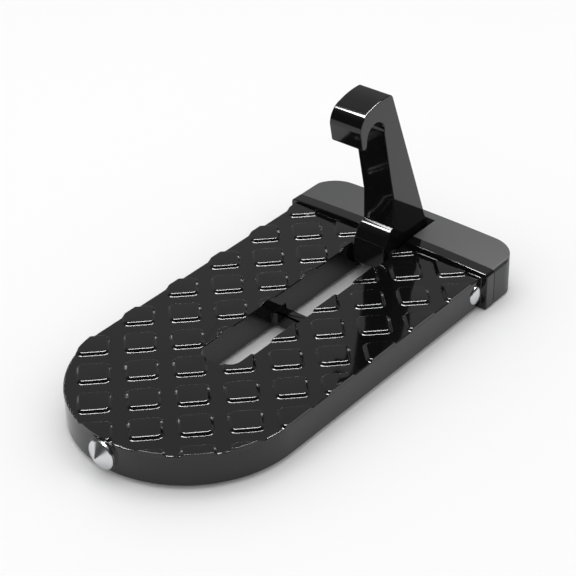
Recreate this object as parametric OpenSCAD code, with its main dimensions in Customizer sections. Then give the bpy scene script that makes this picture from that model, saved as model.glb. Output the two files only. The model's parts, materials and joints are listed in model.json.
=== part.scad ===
// Folding door latch step: a cast tread plate with a hinged hook, a rubber bumper and a breaker tip.
// X runs across the plate, Y from the nose to the bumper, Z up.
// The origin is on the floor, under the middle of the part.

/* [Tread plate] */
// Width of the tread plate
plate_w = 95; // [86:0.5:105]
// Length of the tread plate from its nose to the flange
plate_l = 168.6; // [160:0.2:190]
// Thickness of the tread plate at its edge
plate_t = 13.2; // [13:0.1:16]
// Thickness of the skin under the tread
skin_t = 3.6; // [2.5:0.1:5]
// Thickness of the walls round the outline and the slot
wall_t = 3.6; // [2.5:0.1:5]
// Thickness of the ribs on the underside
rib_t = 2.2; // [1.5:0.1:3.5]
// Distance between ribs that run across
rib_pitch = 24; // [18:0.5:34]
// Corner radius of the pockets between the ribs
pocket_r = 2; // [1:0.1:3]

/* [Slot] */
// Width of the slot that takes the folded hook
slot_w = 18.4; // [17.8:0.1:22]
// Distance from the nose to the front end of the slot
slot_start = 60; // [54:0.5:68]
// Corner radius at the front end of the slot
slot_r = 5; // [2:0.5:8]
// Distance from the nose to the front face of the bridge
bridge_start = 107.2; // [104:0.2:109]
// Length of the bridge along the slot
bridge_l = 4.9; // [3.5:0.1:6.5]
// Depth of the bridge top below the tread
bridge_drop = 6.5; // [6:0.1:8]
// Radius of the blend between the bridge and the slot walls
bridge_r = 1.8; // [1:0.1:2]

/* [Tread pads] */
// Distance between neighbouring pads along a diagonal
pad_pitch = 18.05; // [16.5:0.05:22]
// Width of one pad at its foot
pad_w = 12.7; // [9:0.1:13.5]
// Height of the pads above the tread
pad_h = 1; // [0.5:0.1:1.5]
// Width of the bevel round a pad
pad_bevel = 1; // [0.5:0.1:1.4]
// Corner radius of a pad
pad_r = 2.6; // [1.5:0.1:4]
// Distance of the first pad to the right of the middle
pad_x = 8.2; // [4:0.1:12]
// Distance of the first pad from the nose
pad_y = 39.2; // [34:0.05:44]

/* [Rear flange] */
// Width of the flange
flange_w = 100.6; // [100:0.1:112]
// Thickness of the flange
flange_t = 5.5; // [4.5:0.1:8]
// How far the flange reaches below the plate
flange_drop = 1.7; // [0.5:0.1:3]
// How far the ends of the flange stand above the tread
flange_rise = 1.9; // [1:0.1:2.5]
// How much higher the flange is in the middle than at its ends
flange_crown = 1; // [0.6:0.1:2]
// Corner radius at the upper ends of the flange
flange_r = 1.6; // [0.8:0.1:2.5]
// Width of the notch that the hook stands in
notch_w = 19.8; // [18.6:0.1:23]
// Height of the notch floor above the hinge pin axis
seat_up = 3.6; // [3:0.1:4.5]

/* [Hinge] */
// Diameter of the hinge pin
pin_d = 6; // [5:0.1:6.4]
// Distance from the hinge pin axis to the flange
pin_back = 3.5; // [3.2:0.1:5]
// Diameter of the pin heads
pin_head_d = 8.2; // [7.6:0.1:9.6]
// Height of the pin heads
pin_head_h = 1.3; // [0.8:0.1:2]
// Radial clearance of the pin in the bore that turns on it
pin_gap = 0.06; // [0.02:0.01:0.1]
// Radial clearance of the pin in the plate
pin_seat_gap = 0.03; // [0.01:0.01:0.1]
// Outer diameter of the spacer washers
washer_d = 11; // [9.5:0.1:12.5]
// Side clearance of a spacer washer
washer_gap = 0.05; // [0.02:0.01:0.1]

/* [Hook] */
// Width of the hook
hook_w = 15.2; // [13.5:0.1:16.2]
// Height of the top of the hook above the tread
hook_h = 73; // [66:0.5:80]
// Radius of the throat
throat_r = 5.6; // [4.5:0.1:6.5]
// Distance from the hinge pin axis forward to the middle of the throat
throat_ahead = 14.1; // [12:0.1:16]
// Thickness of metal over the throat
crown_t = 8.6; // [7:0.1:11]
// Thickness of the hooked lip
lip_t = 4.4; // [3.5:0.1:5.5]
// Distance the lip hangs below the middle of the throat
lip_drop = 3.2; // [1:0.1:6]
// Radius of the front of the head
head_r = 7.8; // [5:0.1:9]
// Angle of the outline where the top turns into the front of the head
head_angle = 99; // [95:1:110]
// Fall of the top towards the front of the head
head_slope = 1.5; // [1:0.1:2.5]
// Bulge of the top of the hook
head_bow = 0.5; // [0.2:0.1:0.8]
// Radius of the end of the lip
lip_r = 1.5; // [1:0.1:1.8]
// How far the end of the lip leans forward from the throat
lip_lean = 0.2; // [0:0.1:0.8]
// Distance from the hinge pin axis forward to the front of the arm
arm_ahead = 1.8; // [1:0.1:3]
// Height above the tread where the front of the arm starts to lean
arm_bend = 24; // [18:0.5:34]
// Distance from the hinge pin axis back to the heel at tread level
heel_back = 22.9; // [20:0.1:24]
// Lean of the back of the arm from the vertical in degrees
arm_lean = 20.1; // [17:0.1:21]
// Radius of the round corners at the heel and the head
edge_r = 3; // [1.5:0.1:4]
// Distance from the hinge pin axis forward to the front of the knuckle
knuckle_ahead = 8.3; // [7.2:0.1:9]
// Height of the straight front of the knuckle above the tread
knuckle_h = 3.6; // [2:0.1:5]
// Height of the ledge at the foot of the arm above the tread
ledge_h = 10.7; // [9:0.1:14]
// Depth of the ledge in front of the arm
ledge_d = 1.3; // [0.6:0.1:2]
// Fall of the ledge towards its front
ledge_fall = 0.3; // [0:0.1:0.8]
// Height of the square front of the knuckle below the hinge pin axis
knuckle_foot = 0.6; // [0.2:0.1:1]
// Bulge of the sloping front of the knuckle
knuckle_bow = 0.6; // [0.2:0.1:1]
// Clearance of the knuckle to the underside of the plate
knuckle_gap = 0.25; // [0.2:0.05:0.6]
// Clearance of the knuckle in its pocket in the flange
pocket_gap = 0.4; // [0.3:0.05:0.8]

/* [Rubber bumper] */
// Depth of the bumper behind the flange
bumper_t = 20; // [17:0.5:26]
// Corner radius of the bumper seen from above
bumper_r = 13; // [8:0.5:16]
// How much lower the bumper lies than the top of the flange
bumper_inset = 0.15; // [0.1:0.05:0.6]
// How far the bumper stays clear of the floor
bumper_lift = 0.3; // [0.1:0.1:1]
// Clearance between the heel and the groove in the bumper
groove_gap = 0.8; // [0.5:0.1:1.5]

/* [Bumper screws] */
// Distance between the two bumper screws
screw_span = 64; // [54:1:74]
// Diameter of the bumper screws
screw_d = 5; // [4:0.1:6]
// Diameter of the screw heads
screw_head_d = 8.6; // [7.5:0.1:10]
// Height of the screw heads
screw_head_h = 3.2; // [2:0.1:4]
// Size of the hexagon socket
socket_af = 3; // [2.5:0.5:4]
// Depth of the hexagon socket
socket_depth = 2; // [1:0.1:2.5]
// Diameter of the washers under the screw heads
screw_washer_d = 12; // [10:0.5:14]
// Thickness of the washers under the screw heads
screw_washer_t = 1.2; // [0.8:0.1:2]
// Thickness of rubber held under the washers
rubber_under = 7; // [5:0.5:10]
// Clearance round the screw and in its recess
screw_gap = 0.25; // [0.1:0.05:0.5]

/* [Breaker tip] */
// Diameter of the tip collar
tip_d = 11.9; // [9:0.1:12]
// Length of the tip collar
tip_collar_l = 1.3; // [1:0.1:3]
// Height of the cone
tip_cone_h = 2.9; // [2:0.1:5]
// Height of the tip above the middle of the plate edge
tip_up = 0.4; // [0:0.1:0.6]
// Diameter of the boss that the tip sits on
boss_d = 13; // [12.2:0.1:13.2]
// Diameter of the flat at the point of the cone
tip_flat_d = 0.8; // [0.4:0.1:1.5]
// How far the boss stands out of the nose
boss_h = 0.4; // [0.2:0.1:1.5]
// Diameter of the stud
stud_d = 4; // [3.5:0.1:4.5]
// Thickness of the nose wall at the stud
nose_wall = 6; // [5:0.1:8]
// Clearance of the stud in the nose
stud_gap = 0.1; // [0.05:0.05:0.3]
// Width of the nut across its flats
nut_af = 7; // [6.5:0.5:7]
// Height of the nut
nut_h = 3.2; // [2.5:0.1:4]
// Diameter of the washer under the nut
nut_washer_d = 8.2; // [8.1:0.1:8.4]
// Thickness of the washer under the nut
nut_washer_t = 0.8; // [0.6:0.1:1.2]
// Clearance round the washer in its recess
nut_gap = 0.3; // [0.2:0.05:0.4]

/* [Hidden] */
$fn = 72;

// Overlap that makes cuts and unions clean
lap = 0.5;
// Steps along the long crown arc
crown_n = 24;
// Steps along a small corner arc
corner_n = 8;
// How much wider than a pad the ribs are that shape it
rib_over = 0.1;
// Facets of small blends
blend_fn = 24;

// Places along Y
tip_out = tip_collar_l + tip_cone_h + boss_h;
overall_l = tip_out + plate_l + flange_t + bumper_t;
nose_y = tip_out - overall_l / 2;
flange_y = nose_y + plate_l;
bumper_y = flange_y + flange_t;
back_y = bumper_y + bumper_t;
pin_y = flange_y - pin_back;
bridge_y = nose_y + bridge_start;

// Places along Z
plate_z = flange_drop;
tread_z = plate_z + plate_t;
pin_z = plate_z + plate_t / 2;
seat_z = pin_z + seat_up;
flange_top = tread_z + flange_rise + flange_crown;

// Radius of the arc that crowns the flange over its own width
crown_radius = (pow(flange_w / 2, 2) + pow(flange_crown, 2)) / (2 * flange_crown);

// The knuckle is as large as the plate lets it be
knuckle_r = plate_t / 2 - knuckle_gap;

// Pocket depth under the tread and the solid block round the pin
pocket_depth = plate_t - skin_t;
block_l = pin_back + pin_head_d / 2 + wall_t;

// Spacer washers fill the gap beside the hook
washer_t = (slot_w - hook_w) / 2 - 2 * washer_gap;
washer_x = hook_w / 2 + washer_gap;

// Places of the bumper screws
washer_y = bumper_y + rubber_under;
screw_l = rubber_under + screw_washer_t + flange_t - lap;
recess_d = screw_washer_d + 2 * screw_gap;

// Seat of the breaker tip and length of its stud
tip_y = nose_y - boss_h;
tip_z = pin_z + tip_up;
stud_l = nose_wall + boss_h + nut_washer_t + nut_h + 2 * lap;
nut_room = nut_washer_t + nut_h + 6 * lap;

// Points on a shallow bow between two points, without its ends
function bow(p, q, rise, n) =
    [for (i = [1:n - 1]) p + (q - p) * i / n + rise * 4 * i * (n - i) / (n * n) * unit_left(q - p)];

// Unit vector at a right angle to another, on its left
function unit_left(v) = [-v[1], v[0]] / norm(v);

// Points on an arc, from angle a0 to a1 in n steps
function arc(centre, r, a0, a1, n) =
    [for (i = [0:n]) centre + r * [cos(a0 + (a1 - a0) * i / n), sin(a0 + (a1 - a0) * i / n)]];

// Outline of the plate, moved in by a distance
module plate_outline(inset = 0) {
    translate([0, nose_y + plate_w / 2])
        circle(r = plate_w / 2 - inset, $fn = 144);
    translate([-plate_w / 2 + inset, nose_y + plate_w / 2])
        square([plate_w - 2 * inset, plate_l - plate_w / 2 + lap]);
}

// Outline of the slot, grown by a distance, open at the flange
module slot_outline(grow = 0) {
    offset(r = slot_r + grow, $fn = 48)
        translate([-slot_w / 2 + slot_r, nose_y + slot_start + slot_r])
            square([slot_w - 2 * slot_r, plate_l - slot_start]);
}

// One row of bevelled ribs in section, joined by a slab below the tread
module rib_section(count) {
    half = pad_w / 2 + rib_over;
    polygon(concat(
        [[-(count + 1) * pad_pitch, -lap], [-(count + 1) * pad_pitch, 0]],
        [for (k = [-count:count], p = [[-half, 0], [pad_bevel - half, pad_h], [half - pad_bevel, pad_h], [half, 0]])
            [k * pad_pitch, 0] + p],
        [[(count + 1) * pad_pitch, 0], [(count + 1) * pad_pitch, -lap]]
    ));
}

// Bevelled ribs that run along one diagonal of the tread
module rib_row(angle) {
    count = ceil(plate_l / pad_pitch);
    translate([pad_x, nose_y + pad_y, tread_z])
        rotate([0, 0, angle])
            rotate([90, 0, 0])
                linear_extrude(2.5 * plate_l, center = true)
                    rib_section(count);
}

// Plan of all the pads, each a rounded square on its point
module pad_plan() {
    half_step = pad_pitch / sqrt(2);
    reach = ceil(plate_l / half_step);
    offset(r = pad_r, $fn = blend_fn)
        for (i = [-reach:reach], j = [-reach:reach])
            if ((i + j) % 2 == 0 && on_plate(pad_x + i * half_step, pad_y + j * half_step))
                translate([pad_x + i * half_step, nose_y + pad_y + j * half_step])
                    rotate(45)
                        square(pad_w - 2 * pad_r, center = true);
}

// True where a pad's middle lies on the plate or close to its edge, y measured from the nose
function on_plate(x, y) =
    abs(x) < plate_w / 2 + pad_w / 4 && y < plate_l && y > 0
    && (y > plate_w / 2 || norm([x, y - plate_w / 2]) < plate_w / 2 + 0.42 * pad_w);

// Raised pads, where two crossing rows of bevelled ribs meet
module tread_pads() {
    intersection() {
        translate([0, 0, tread_z - lap / 2])
            linear_extrude(2 * pad_h + lap)
                intersection() {
                    pad_plan();
                    plate_outline();
                }
        rib_row(45);
        rib_row(-45);
    }
}

// Section of the flange or the bumper across X and Z, with a crowned top and round corners
module crowned_section(w, bottom, top, corner) {
    foot_r = corner / 2;
    crown_z = top - crown_radius;
    corner_x = w / 2 - corner;
    corner_z = crown_z + sqrt(pow(crown_radius - corner, 2) - pow(corner_x, 2));
    meet = atan2(corner_z - crown_z, corner_x);
    step = (180 - 2 * meet) / crown_n;
    polygon(concat(
        arc([w / 2 - foot_r, bottom + foot_r], foot_r, -90, 0, corner_n),
        arc([corner_x, corner_z], corner, 0, meet, corner_n),
        arc([0, crown_z], crown_radius, meet + step, 180 - meet - step, crown_n - 2),
        arc([-corner_x, corner_z], corner, 180 - meet, 180, corner_n),
        arc([-w / 2 + foot_r, bottom + foot_r], foot_r, 180, 270, corner_n)
    ));
}

// Flange at the rear of the casting
module flange_body() {
    translate([0, bumper_y, 0])
        rotate([90, 0, 0])
            linear_extrude(flange_t)
                crowned_section(flange_w, 0, flange_top, flange_r);
}

// Areas of the underside that stay solid inside the walls
module underside_solids() {
    slot_outline(wall_t);
    translate([-plate_w / 2, flange_y - block_l])
        square([plate_w, block_l + lap]);
    translate([-tip_d / 2 - rib_t, nose_y])
        square([tip_d + 2 * rib_t, nose_wall]);
    for (side = [-1, 1])
        translate([side * (plate_w + slot_w) / 4 - rib_t / 2, nose_y])
            square([rib_t, plate_l]);
    translate([-rib_t / 2, nose_y + nose_wall + nut_room])
        square([rib_t, slot_start - nose_wall - nut_room]);
    for (y = [rib_pitch:rib_pitch:plate_l - block_l])
        translate([-plate_w / 2, nose_y + y - rib_t / 2])
            square([plate_w, rib_t]);
}

// Plan of the pockets between the ribs
module pocket_plan() {
    offset(r = pocket_r, $fn = blend_fn)
        offset(delta = -pocket_r)
            difference() {
                plate_outline(wall_t);
                underside_solids();
            }
}

// Bridge across the slot, blended into both walls
module bridge() {
    translate([0, 0, plate_z])
        linear_extrude(plate_t - bridge_drop)
            difference() {
                translate([-slot_w / 2 - lap, bridge_y - bridge_r])
                    square([slot_w + 2 * lap, bridge_l + 2 * bridge_r]);
                for (side = [-1, 1])
                    translate([0, bridge_y + bridge_l / 2 + side * (bridge_l / 2 + bridge_r)])
                        offset(r = bridge_r - 0.01, $fn = blend_fn)
                            square([slot_w - 2 * bridge_r, 0.02], center = true);
            }
}

// Cast plate with tread, slot, bridge, flange and ribbed underside
module tread_plate() {
    color("#1b1c1e")
    difference() {
        union() {
            difference() {
                union() {
                    translate([0, 0, plate_z])
                        linear_extrude(plate_t)
                            plate_outline();
                    tread_pads();
                }
                translate([0, 0, plate_z - lap])
                    linear_extrude(plate_t + flange_rise + pad_h + 2 * lap)
                        intersection() {
                            slot_outline();
                            translate([-plate_w, nose_y])
                                square([2 * plate_w, plate_l]);
                        }
                translate([0, 0, plate_z - lap])
                    linear_extrude(pocket_depth + lap)
                        pocket_plan();
            }
            bridge();
            flange_body();
            translate([0, nose_y + nose_wall - lap, tip_z])
                rotate([90, 0, 0])
                    cylinder(d = boss_d, h = nose_wall - lap + boss_h);
        }
        hinge_cuts();
        nose_cuts();
        for (side = [-1, 1])
            translate([side * screw_span / 2, bumper_y + lap, pin_z])
                rotate([90, 0, 0])
                    cylinder(d = screw_d, h = flange_t + lap);
    }
}

// Pin bore, hook notch and knuckle pocket
module hinge_cuts() {
    translate([-plate_w, pin_y, pin_z])
        rotate([0, 90, 0])
            cylinder(d = pin_d + 2 * pin_seat_gap, h = 2 * plate_w);
    translate([-notch_w / 2, flange_y - 2 * lap, seat_z])
        cube([notch_w, flange_t + 4 * lap, 2 * plate_t]);
    translate([-slot_w / 2, pin_y, pin_z])
        rotate([0, 90, 0])
            cylinder(r = knuckle_r + pocket_gap, h = slot_w);
}

// Hole for the stud of the breaker tip and recess for its washer and nut
module nose_cuts() {
    translate([0, nose_y + nose_wall + nut_room, tip_z])
        rotate([90, 0, 0])
            cylinder(d = nut_washer_d + 2 * nut_gap, h = nut_room);
    translate([0, nose_y + nose_wall + lap, tip_z])
        rotate([90, 0, 0])
            cylinder(d = stud_d + 2 * stud_gap, h = nose_wall + boss_h + 2 * lap);
}

// Side view of the hook, with the hinge pin axis at the origin
module hook_outline() {
    tread = tread_z - pin_z;
    top = tread + hook_h;
    throat = [-throat_ahead, top - crown_t - throat_r];
    lip_front = throat[0] - throat_r - lip_t;
    head = [lip_front + head_r, top - head_slope - head_r];
    heel_x = heel_back + (tread - seat_up) * tan(arm_lean);
    heel = [heel_x - edge_r / tan(45 - arm_lean / 2), seat_up + edge_r];
    crest = [heel_x - (top - seat_up - edge_r) * tan(arm_lean) - edge_r / cos(arm_lean), top - edge_r];
    crest_end = crest + edge_r * [cos(head_angle), sin(head_angle)];
    head_end = head + head_r * [cos(head_angle), sin(head_angle)];
    ledge = [-arm_ahead - ledge_d, tread + ledge_h - ledge_fall];
    chin = [-knuckle_ahead, tread + knuckle_h];
    front = [-knuckle_ahead, -knuckle_foot];
    touch = atan2(front[1], front[0]) + 360 + acos(knuckle_r / norm(front));
    lip = [throat[0] - throat_r - lip_r - lip_lean, throat[1] - lip_drop + lip_r];
    polygon(concat(
        [[-arm_ahead, tread + arm_bend], [-arm_ahead, tread + ledge_h], ledge],
        bow(ledge, chin, -knuckle_bow, 6),
        [chin, front],
        arc([0, 0], knuckle_r, touch, 360 + asin(seat_up / knuckle_r), 28),
        arc(heel, edge_r, -90, arm_lean, 8),
        arc(crest, edge_r, arm_lean, head_angle, 8),
        bow(crest_end, head_end, -head_bow, 6),
        arc(head, head_r, head_angle, 180, 16),
        arc(lip, lip_r, 200, 360, 10),
        arc(throat, throat_r, 180, -10, 26)
    ));
}

// Folding hook with its knuckle and heel
module hook() {
    color("#161718")
    difference() {
        translate([-hook_w / 2, pin_y, pin_z])
            rotate([90, 0, 90])
                linear_extrude(hook_w)
                    hook_outline();
        translate([-hook_w, pin_y, pin_z])
            rotate([0, 90, 0])
                cylinder(d = pin_d + 2 * pin_gap, h = 2 * hook_w);
    }
}

// Riveted hinge pin with a low domed head at each end
module hinge_pin() {
    color("silver")
    translate([0, pin_y, pin_z])
        rotate([0, 90, 0])
            rotate_extrude()
                polygon(concat(
                    [[0, -plate_w / 2 - pin_head_h]],
                    dome(-1),
                    [[pin_d / 2, -plate_w / 2], [pin_d / 2, plate_w / 2]],
                    [for (i = [6:-1:0]) dome(1)[i]],
                    [[0, plate_w / 2 + pin_head_h]]
                ));
}

// Points of a pin head from its middle to its edge
function dome(side) =
    [for (i = [1:7]) [pin_head_d / 2 * sin(90 * i / 7), side * (plate_w / 2 + pin_head_h * cos(90 * i / 7))]];

// Washer that keeps the hook in the middle of the slot
module spacer_washer(side) {
    color("gainsboro")
    translate([side * (washer_x + washer_t / 2), pin_y, pin_z])
        rotate([0, 90, 0])
            difference() {
                cylinder(d = washer_d, h = washer_t, center = true);
                cylinder(d = pin_d + 2 * pin_gap, h = 2 * washer_t, center = true);
            }
}

module spacer_washer_left() {
    spacer_washer(-1);
}

module spacer_washer_right() {
    spacer_washer(1);
}

// Plan of the bumper with its two round corners
module bumper_plan() {
    intersection() {
        offset(r = bumper_r, $fn = 64)
            translate([-flange_w / 2 + bumper_r, back_y - bumper_r - 2 * bumper_t])
                square([flange_w - 2 * bumper_r, 2 * bumper_t]);
        translate([-flange_w, bumper_y])
            square([2 * flange_w, 2 * bumper_t]);
    }
}

// Rubber bumper with a groove for the heel and two screw recesses
module rubber_bumper() {
    heel_reach = heel_back + (tread_z - seat_z) * tan(arm_lean) + groove_gap;
    color("#222325")
    difference() {
        intersection() {
            linear_extrude(2 * tread_z)
                bumper_plan();
            translate([0, back_y + lap, 0])
                rotate([90, 0, 0])
                    linear_extrude(bumper_t + 2 * lap)
                        crowned_section(flange_w, bumper_lift, flange_top - bumper_inset, flange_r);
        }
        translate([-notch_w / 2, bumper_y - lap, seat_z - groove_gap / 2])
            cube([notch_w, pin_y + heel_reach - bumper_y + lap, 2 * plate_t]);
        for (side = [-1, 1])
            translate([side * screw_span / 2, 0, pin_z]) {
                translate([0, back_y + lap, 0])
                    rotate([90, 0, 0])
                        cylinder(d = recess_d, h = bumper_t - rubber_under + lap);
                translate([0, back_y, 0])
                    rotate([90, 0, 0])
                        cylinder(d = screw_d + 2 * screw_gap, h = bumper_t + lap);
            }
    }
}

// Two screws that hold the bumper to the flange
module bumper_screws() {
    color("dimgray")
    for (side = [-1, 1])
        translate([side * screw_span / 2, washer_y + screw_washer_t, pin_z])
            rotate([90, 0, 0])
                difference() {
                    union() {
                        translate([0, 0, -screw_head_h])
                            cylinder(d = screw_head_d, h = screw_head_h);
                        translate([0, 0, -lap])
                            cylinder(d = screw_d - 0.04, h = screw_l + lap);
                    }
                    translate([0, 0, -screw_head_h - lap])
                        cylinder(d = socket_af / cos(30), h = socket_depth + lap, $fn = 6);
                }
}

// Washers that spread the screw load over the rubber
module bumper_washers() {
    color("silver")
    for (side = [-1, 1])
        translate([side * screw_span / 2, washer_y + screw_washer_t, pin_z])
            rotate([90, 0, 0])
                difference() {
                    cylinder(d = screw_washer_d, h = screw_washer_t);
                    translate([0, 0, -lap])
                        cylinder(d = screw_d + screw_gap, h = screw_washer_t + 2 * lap);
                }
}

// Hard cone that breaks a window, turned in one piece with its stud
module breaker_tip() {
    color("silver")
    translate([0, tip_y, tip_z])
        rotate([90, 0, 0])
            rotate_extrude()
                polygon([
                    [0, tip_collar_l + tip_cone_h], [tip_flat_d / 2, tip_collar_l + tip_cone_h],
                    [tip_d / 2 - 0.3, tip_collar_l], [tip_d / 2, tip_collar_l - 0.3], [tip_d / 2, 0],
                    [stud_d / 2, 0], [stud_d / 2, -stud_l], [0, -stud_l]
                ]);
}

// Washer on the stud inside the nose
module breaker_washer() {
    color("silver")
    translate([0, nose_y + nose_wall + nut_washer_t, tip_z])
        rotate([90, 0, 0])
            difference() {
                cylinder(d = nut_washer_d, h = nut_washer_t);
                translate([0, 0, -lap])
                    cylinder(d = stud_d + 2 * stud_gap, h = nut_washer_t + 2 * lap);
            }
}

// Nut on the stud inside the nose
module breaker_nut() {
    color("silver")
    translate([0, nose_y + nose_wall + nut_washer_t + nut_h, tip_z])
        rotate([90, 0, 0])
            difference() {
                cylinder(d = nut_af / cos(30), h = nut_h, $fn = 6);
                translate([0, 0, -lap])
                    cylinder(d = stud_d + 0.04, h = nut_h + 2 * lap);
            }
}

tread_plate();
hook();
hinge_pin();
spacer_washer_left();
spacer_washer_right();
rubber_bumper();
bumper_screws();
bumper_washers();
breaker_tip();
breaker_washer();
breaker_nut();
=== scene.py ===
# %% [markdown]
# # A folding car door latch step
#
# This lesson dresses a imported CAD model: a cast step plate with a folding hook, a rubber bumper and a
# steel breaker tip. The CAD parts stay where they are. Each one gets rounded edges and the finish of
# the real thing, and then a small studio is built around it.

import json
import math

import bmesh
import bpy
from mathutils import Matrix, Vector

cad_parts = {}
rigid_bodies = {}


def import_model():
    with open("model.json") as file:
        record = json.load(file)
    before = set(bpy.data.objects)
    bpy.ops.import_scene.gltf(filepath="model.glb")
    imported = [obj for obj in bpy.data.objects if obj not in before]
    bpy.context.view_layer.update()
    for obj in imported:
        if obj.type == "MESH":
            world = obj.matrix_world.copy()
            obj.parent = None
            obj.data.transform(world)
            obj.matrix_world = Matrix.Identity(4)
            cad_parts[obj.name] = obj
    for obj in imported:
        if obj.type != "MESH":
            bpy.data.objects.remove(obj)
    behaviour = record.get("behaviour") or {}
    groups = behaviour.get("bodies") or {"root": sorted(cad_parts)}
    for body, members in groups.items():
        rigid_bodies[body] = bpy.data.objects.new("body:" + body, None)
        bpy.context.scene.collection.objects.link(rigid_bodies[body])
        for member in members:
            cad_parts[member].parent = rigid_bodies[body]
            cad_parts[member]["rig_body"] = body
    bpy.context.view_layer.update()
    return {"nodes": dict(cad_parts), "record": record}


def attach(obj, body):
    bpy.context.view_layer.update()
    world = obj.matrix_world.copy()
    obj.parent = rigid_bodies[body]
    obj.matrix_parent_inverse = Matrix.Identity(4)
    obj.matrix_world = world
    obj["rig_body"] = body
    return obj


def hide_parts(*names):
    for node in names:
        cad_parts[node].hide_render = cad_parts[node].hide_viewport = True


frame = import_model()
MM = 0.001
print("CAD nodes:", sorted(frame["nodes"]))

# %% [markdown]
# ## Colours and shader nodes
#
# Colours are written as sRGB hex and turned into linear values by one function. A second small
# function adds any shader node, sets its options and fills or links its sockets.


# %% Two helpers for materials
def linear(hex_colour):
    """An sRGB hex colour as linear red, green, blue and alpha."""
    parts = [int(hex_colour[i : i + 2], 16) / 255 for i in (1, 3, 5)]
    return [p / 12.92 if p <= 0.04045 else ((p + 0.055) / 1.055) ** 2.4 for p in parts] + [1.0]


def add(tree, kind, inputs=None, **options):
    """Adds a shader node. A socket given as a value is linked, any other value is set."""
    made = tree.nodes.new(kind)
    for name, value in options.items():
        setattr(made, name, value)
    for name, value in (inputs or {}).items():
        if isinstance(value, bpy.types.NodeSocket):
            tree.links.new(value, made.inputs[name])
        else:
            made.inputs[name].default_value = value
    return made


def material(name):
    """A new material with its node tree, its main shader and the object's own coordinates."""
    made = bpy.data.materials.new(name)
    made.use_nodes = True
    tree = made.node_tree
    place = add(tree, "ShaderNodeTexCoord").outputs["Object"]
    return made, tree, tree.nodes["Principled BSDF"], place


# %% [markdown]
# ## Black gloss paint on the castings
#
# Wet paint on die cast metal settles into a very smooth film with a faint orange peel, a few
# micrometres high and about two millimetres across.

# %% Gloss paint
gloss_paint, tree, shader, place = material("black gloss paint on cast aluminium")
shader.inputs["Base Color"].default_value = linear("#0d0d0e")
shader.inputs["Roughness"].default_value = 0.07
shader.inputs["IOR"].default_value = 1.5
peel = add(tree, "ShaderNodeTexNoise", {"Vector": place, "Scale": 500.0, "Detail": 1.0})
rounded = add(tree, "ShaderNodeBevel", {"Radius": 0.35 * MM}, samples=6)
waves = add(
    tree,
    "ShaderNodeBump",
    {"Height": peel.outputs["Fac"], "Distance": 0.004 * MM, "Normal": rounded.outputs["Normal"]},
)
tree.links.new(waves.outputs["Normal"], shader.inputs["Normal"])
print("made", gloss_paint.name)

# %% [markdown]
# ## Rubber and steel
#
# Moulded rubber scatters light from a fine grain. Turned steel has a metal's mirror colour and
# fine rings from the tool.

# %% Rubber
rubber, tree, shader, place = material("black moulded rubber")
shader.inputs["Base Color"].default_value = linear("#232425")
shader.inputs["Roughness"].default_value = 0.42
shader.inputs["IOR"].default_value = 1.5
grain = add(tree, "ShaderNodeTexNoise", {"Vector": place, "Scale": 4000.0, "Detail": 2.0})
pits = add(tree, "ShaderNodeBump", {"Height": grain.outputs["Fac"], "Distance": 0.01 * MM})
tree.links.new(pits.outputs["Normal"], shader.inputs["Normal"])

# %% Steels
steels = {}
for name, colour, rough in [
    ("bright turned steel", "#d2d3d5", 0.2),
    ("zinc plated steel", "#b9bbbd", 0.32),
    ("black oxide steel", "#3b3c3e", 0.35),
]:
    steels[name], tree, shader, place = material(name)
    shader.inputs["Base Color"].default_value = linear(colour)
    shader.inputs["Metallic"].default_value = 1.0
    shader.inputs["Roughness"].default_value = rough
    marks = add(tree, "ShaderNodeTexNoise", {"Vector": place, "Scale": 2500.0, "Detail": 2.0})
    turned = add(tree, "ShaderNodeBump", {"Height": marks.outputs["Fac"], "Distance": 0.003 * MM})
    tree.links.new(turned.outputs["Normal"], shader.inputs["Normal"])
print("made", len(steels), "steels")

# %% [markdown]
# ## Rounded edges
#
# A casting or a moulding has no sharp edge. A copy of each CAD mesh is cleaned of its extra
# triangles, its edges are rounded, and the copy then stands for the CAD node.


# %% Functions that round a CAD part
def copy_of(node):
    """A free copy of a CAD node's mesh, cleaned of doubled corners."""
    mesh = bmesh.new()
    mesh.from_mesh(frame["nodes"][node].data)
    bmesh.ops.remove_doubles(mesh, verts=mesh.verts, dist=1e-6)
    return mesh


def show(mesh, name, finish, smooth_angle=35):
    """A new object from a mesh, smooth except where its faces meet at more than the angle."""
    data = bpy.data.meshes.new(name)
    mesh.to_mesh(data)
    mesh.free()
    made = bpy.data.objects.new(name, data)
    bpy.context.scene.collection.objects.link(made)
    data.materials.append(finish)
    data.shade_smooth()
    data.set_sharp_from_angle(angle=math.radians(smooth_angle))
    weighted = made.modifiers.new("flat faces stay flat", "WEIGHTED_NORMAL")
    weighted.weight, weighted.keep_sharp = 100, True
    print(name, len(data.polygons), "faces")
    return made


def round_edges(mesh, width, steps=3, limit=28, clamp=True):
    """Merges the triangles of flat faces, then rounds every edge sharper than the limit."""
    bmesh.ops.dissolve_limit(mesh, angle_limit=math.radians(0.15), verts=mesh.verts, edges=mesh.edges)
    sharp = [e for e in mesh.edges if e.is_manifold and e.calc_face_angle(0) > math.radians(limit)]
    bmesh.ops.bevel(
        mesh, geom=sharp, offset=width, segments=steps, profile=0.5, affect="EDGES", clamp_overlap=clamp
    )
    return mesh


def stand_for(made, node):
    """The new object is shown in place of a CAD node and moves with its body."""
    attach(made, frame["nodes"][node]["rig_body"])
    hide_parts(node)
    return made


# %% Round the hook and the bumper
hook = show(round_edges(copy_of("hook"), 0.7 * MM), "hook_rounded", gloss_paint)
stand_for(hook, "hook")
bumper = show(round_edges(copy_of("rubber_bumper"), 0.8 * MM), "bumper_rounded", rubber)
stand_for(bumper, "rubber_bumper")

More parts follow.
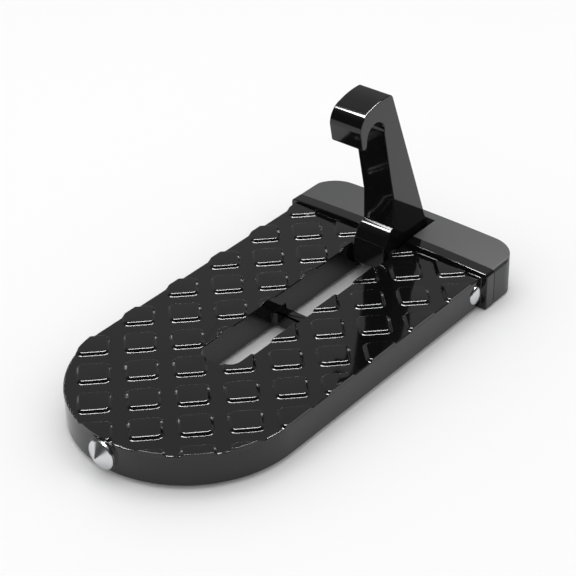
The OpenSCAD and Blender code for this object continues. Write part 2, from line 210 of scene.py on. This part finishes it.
# %% [markdown]
# ## The tread
#
# The pads of the CAD model have flat bevels. Cast ones are rounded at the foot and at the top, and
# that is where the light catches. So the CAD plate is cut level with its tread, its edges are rounded,
# and fuller pads are set on it in the same places.

# %% Sizes of the tread
record_y = frame["record"]["size"]["bbox_m"][1]
NOSE_Y = -record_y / 2 + 4.6 * MM
TREAD_Z = 14.9 * MM
PLATE_HALF = 47.5 * MM
FLANGE_Y = NOSE_Y + 168.6 * MM
SLOT_HALF, SLOT_START, SLOT_CORNER = 9.2 * MM, NOSE_Y + 60 * MM, 5 * MM
PAD_HALF, PAD_CORNER, PAD_TALL, PAD_BEVEL = 6.35 * MM, 2.6 * MM, 1.0 * MM, 1.0 * MM
PAD_STEP = 18.05 * MM / math.sqrt(2)
FIRST_PAD = (8.2 * MM, NOSE_Y + 39.2 * MM)


# %% Cutting one mesh with another
def cut(target, tool, operation):
    """Changes the target by a boolean with the tool, which is then removed."""
    change = target.modifiers.new("cut", "BOOLEAN")
    change.operation, change.object, change.solver = operation, tool, "MANIFOLD"
    graph = bpy.context.evaluated_depsgraph_get()
    result = bpy.data.meshes.new_from_object(target.evaluated_get(graph))
    target.modifiers.remove(change)
    target.data = result
    bpy.data.objects.remove(tool)
    return target


def prism(outline, low, high, name="tool"):
    """A solid with the given outline between two heights."""
    mesh = bmesh.new()
    base = mesh.faces.new([mesh.verts.new((x, y, low)) for x, y in outline])
    grown = bmesh.ops.extrude_face_region(mesh, geom=[base])
    raised = [v for v in grown["geom"] if isinstance(v, bmesh.types.BMVert)]
    bmesh.ops.translate(mesh, verts=raised, vec=(0, 0, high - low))
    bmesh.ops.recalc_face_normals(mesh, faces=mesh.faces)
    data = bpy.data.meshes.new(name)
    mesh.to_mesh(data)
    mesh.free()
    made = bpy.data.objects.new(name, data)
    bpy.context.scene.collection.objects.link(made)
    return made


def arc(centre, radius, start, end, steps):
    """Points on an arc, with angles in degrees."""
    turns = [math.radians(start + (end - start) * i / steps) for i in range(steps + 1)]
    return [(centre[0] + radius * math.cos(t), centre[1] + radius * math.sin(t)) for t in turns]


# %% Plate cut level with its tread
level_top = prism(
    [(-0.06, NOSE_Y - 0.01), (0.06, NOSE_Y - 0.01), (0.06, FLANGE_Y), (-0.06, FLANGE_Y)],
    TREAD_Z - 0.01 * MM,
    TREAD_Z + 3 * MM,
)
plain_mesh = copy_of("tread_plate")
plate = show(plain_mesh, "plate_rounded", gloss_paint)
plate.modifiers.clear()
cut(plate, level_top, "DIFFERENCE")
smoothed = bmesh.new()
smoothed.from_mesh(plate.data)
bmesh.ops.remove_doubles(smoothed, verts=smoothed.verts, dist=2e-6)
bpy.data.objects.remove(plate)
plate = show(round_edges(smoothed, 0.45 * MM, clamp=False), "plate_rounded", gloss_paint)
stand_for(plate, "tread_plate")

# %% [markdown]
# ### One pad
#
# The side of a pad, from the foot to the flat top, is a hollow curve, a slope and a round edge. Each
# step along it becomes one ring of a square with round corners.


# %% Rings of a pad
def pad_profile(steps=5, radius=0.55):
    """Inset from the foot and height, both in millimetres, from below the tread to the flat top."""
    slope = math.atan2(PAD_TALL, PAD_BEVEL)
    reach = radius * math.tan(slope / 2)
    turns = [slope * i / steps for i in range(steps + 1)]
    foot = [(-reach + radius * math.sin(t), radius * (1 - math.cos(t))) for t in turns]
    tall, wide = PAD_TALL / MM, PAD_BEVEL / MM
    edge = [(wide + reach - x0, tall - z0) for x0, z0 in [(radius * math.sin(t), radius * (1 - math.cos(t))) for t in reversed(turns)]]
    return [(foot[0][0], -1.0)] + foot + edge


def ring(inset, corner_steps=6):
    """Outline of a pad moved in by an inset in metres, turned to stand on its corner."""
    half, corner = PAD_HALF - inset, max(PAD_CORNER - inset, 0.2 * MM)
    points = []
    for quarter in range(4):
        for x, y in arc((half - corner, half - corner), corner, 0, 90, corner_steps):
            turn = math.radians(90 * quarter + 45)
            points.append((x * math.cos(turn) - y * math.sin(turn), x * math.sin(turn) + y * math.cos(turn)))
    return points


def add_pad(mesh, x, y, rings):
    """One closed pad in a mesh, from rings of points."""
    rows = [[mesh.verts.new((x + px, y + py, z)) for px, py in points] for points, z in rings]
    for low, high in zip(rows, rows[1:]):
        for k in range(len(low)):
            n = (k + 1) % len(low)
            mesh.faces.new((low[k], low[n], high[n], high[k]))
    mesh.faces.new(list(reversed(rows[0])))
    mesh.faces.new(rows[-1])


# %% All the pads
rings = [(ring(inset * MM), TREAD_Z + height * MM) for inset, height in pad_profile()]
pad_mesh = bmesh.new()
places = []
for i in range(-8, 9):
    for j in range(-14, 15):
        x, y = FIRST_PAD[0] + i * PAD_STEP, FIRST_PAD[1] + j * PAD_STEP
        past_nose = math.hypot(x, min(0, y - NOSE_Y - PLATE_HALF))
        if (i + j) % 2 == 0 and past_nose < PLATE_HALF + 6 * MM and NOSE_Y < y < FLANGE_Y + 6 * MM:
            places.append((x, y))
            add_pad(pad_mesh, x, y, rings)
pads = show(pad_mesh, "pads_rounded", gloss_paint)
pads.modifiers.clear()
nose = arc((0, NOSE_Y + PLATE_HALF), PLATE_HALF, 180, 360, 144)
whole = prism(nose + [(PLATE_HALF, FLANGE_Y), (-PLATE_HALF, FLANGE_Y)], TREAD_Z - 0.6 * MM, TREAD_Z + 3 * MM)
cut(pads, whole, "INTERSECT")
corner_left = arc((-SLOT_HALF + SLOT_CORNER, SLOT_START + SLOT_CORNER), SLOT_CORNER, 180, 270, 12)
corner_right = arc((SLOT_HALF - SLOT_CORNER, SLOT_START + SLOT_CORNER), SLOT_CORNER, 270, 360, 12)
slot_tool = prism(corner_left + corner_right + [(SLOT_HALF, 0.09), (-SLOT_HALF, 0.09)], 0, 0.03)
cut(pads, slot_tool, "DIFFERENCE")
pads.data.shade_smooth()
pads.data.set_sharp_from_angle(angle=math.radians(40))
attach(pads, "plate")
print(len(places), "pads,", len(pads.data.polygons), "faces")

# %% Finish the other parts
finishes = {
    "hinge_pin": steels["bright turned steel"],
    "breaker_tip": steels["bright turned steel"],
    "spacer_washer_left": steels["zinc plated steel"],
    "spacer_washer_right": steels["zinc plated steel"],
    "bumper_screws": steels["black oxide steel"],
    "bumper_washers": steels["zinc plated steel"],
    "breaker_washer": steels["zinc plated steel"],
    "breaker_nut": steels["zinc plated steel"],
}
for node, finish in finishes.items():
    data = frame["nodes"][node].data
    data.materials.clear()
    data.materials.append(finish)
print("finished", len(finishes), "parts")

# %% [markdown]
# ## The studio
#
# A pale floor lies under the part. White shows behind it for the camera, and reflections see a dim glow that is
# brightest in one direction above the part.
# A large soft box hangs over the part.

# %% Floor
floor_paint, tree, shader, place = material("pale studio floor")
shader.inputs["Base Color"].default_value = linear("#f4f4f4")
shader.inputs["Roughness"].default_value = 0.9
bpy.ops.mesh.primitive_plane_add(size=6.0, location=(0, 0, -0.0002))
floor = bpy.context.active_object
floor.name = "studio_floor"
floor.data.materials.append(floor_paint)

# %% World
world = bpy.data.worlds.new("studio")
bpy.context.scene.world = world
world.use_nodes = True
tree = world.node_tree
tree.nodes.clear()
rays = add(tree, "ShaderNodeLightPath")
white = add(tree, "ShaderNodeBackground", {"Color": [1, 1, 1, 1], "Strength": 1.0})
towards = add(tree, "ShaderNodeTexCoord").outputs["Generated"]
facing = add(tree, "ShaderNodeVectorMath", {0: towards, 1: (-0.54, 0.62, 0.57)}, operation="DOT_PRODUCT")
glow = add(
    tree, "ShaderNodeMapRange",
    {"Value": facing.outputs["Value"], "From Min": 0.1, "From Max": 0.95, "To Min": 0.03, "To Max": 0.4},
    interpolation_type="SMOOTHSTEP",
)
walls = add(tree, "ShaderNodeBackground", {"Color": [1, 1, 1, 1], "Strength": glow.outputs["Result"]})
not_white = add(
    tree, "ShaderNodeMixShader",
    {"Fac": rays.outputs["Is Glossy Ray"], 1: white.outputs[0], 2: walls.outputs[0]},
)
add(tree, "ShaderNodeOutputWorld", {"Surface": not_white.outputs[0]})


# %% Lights
def panel(name, size, place, aim, power):
    """A rectangular soft light that faces a point and is seen only in reflections."""
    lamp = bpy.data.lights.new(name, "AREA")
    lamp.shape = "RECTANGLE"
    lamp.size, lamp.size_y = size
    lamp.energy = power
    made = bpy.data.objects.new(name, lamp)
    bpy.context.scene.collection.objects.link(made)
    made.location = place
    made.rotation_euler = (Vector(aim) - Vector(place)).to_track_quat("-Z", "Y").to_euler()
    made.visible_diffuse = False
    return made


panel("overhead box", (1.1, 0.36), (-0.22, 0.12, 1.0), (0, 0, 0), 60.0)

# %% [markdown]
# ## The camera
#
# The angle, distance and lens were worked out from the photograph's own lines.

# %% Camera
AZIMUTH, ELEVATION, ROLL = math.radians(39.877), math.radians(33.393), math.radians(-1.33)
DISTANCE, AIM = 713.085 * MM, Vector((-9.214, 20.906, 14.9)) * MM
back = Vector(
    (
        math.sin(AZIMUTH) * math.cos(ELEVATION),
        -math.cos(AZIMUTH) * math.cos(ELEVATION),
        math.sin(ELEVATION),
    )
)
level = Vector((math.cos(AZIMUTH), math.sin(AZIMUTH), 0))
upward = back.cross(level)
right = math.cos(ROLL) * level + math.sin(ROLL) * upward
top = math.cos(ROLL) * upward - math.sin(ROLL) * level
lens = bpy.data.cameras.new("camera")
lens.lens, lens.sensor_width = 111.88, 36.0
camera = bpy.data.objects.new("camera", lens)
bpy.context.scene.collection.objects.link(camera)
camera.matrix_world = Matrix.Translation(AIM + DISTANCE * back) @ Matrix((right, top, back)).transposed().to_4x4()
bpy.context.scene.camera = camera
bpy.context.scene.view_settings.view_transform = "Standard"
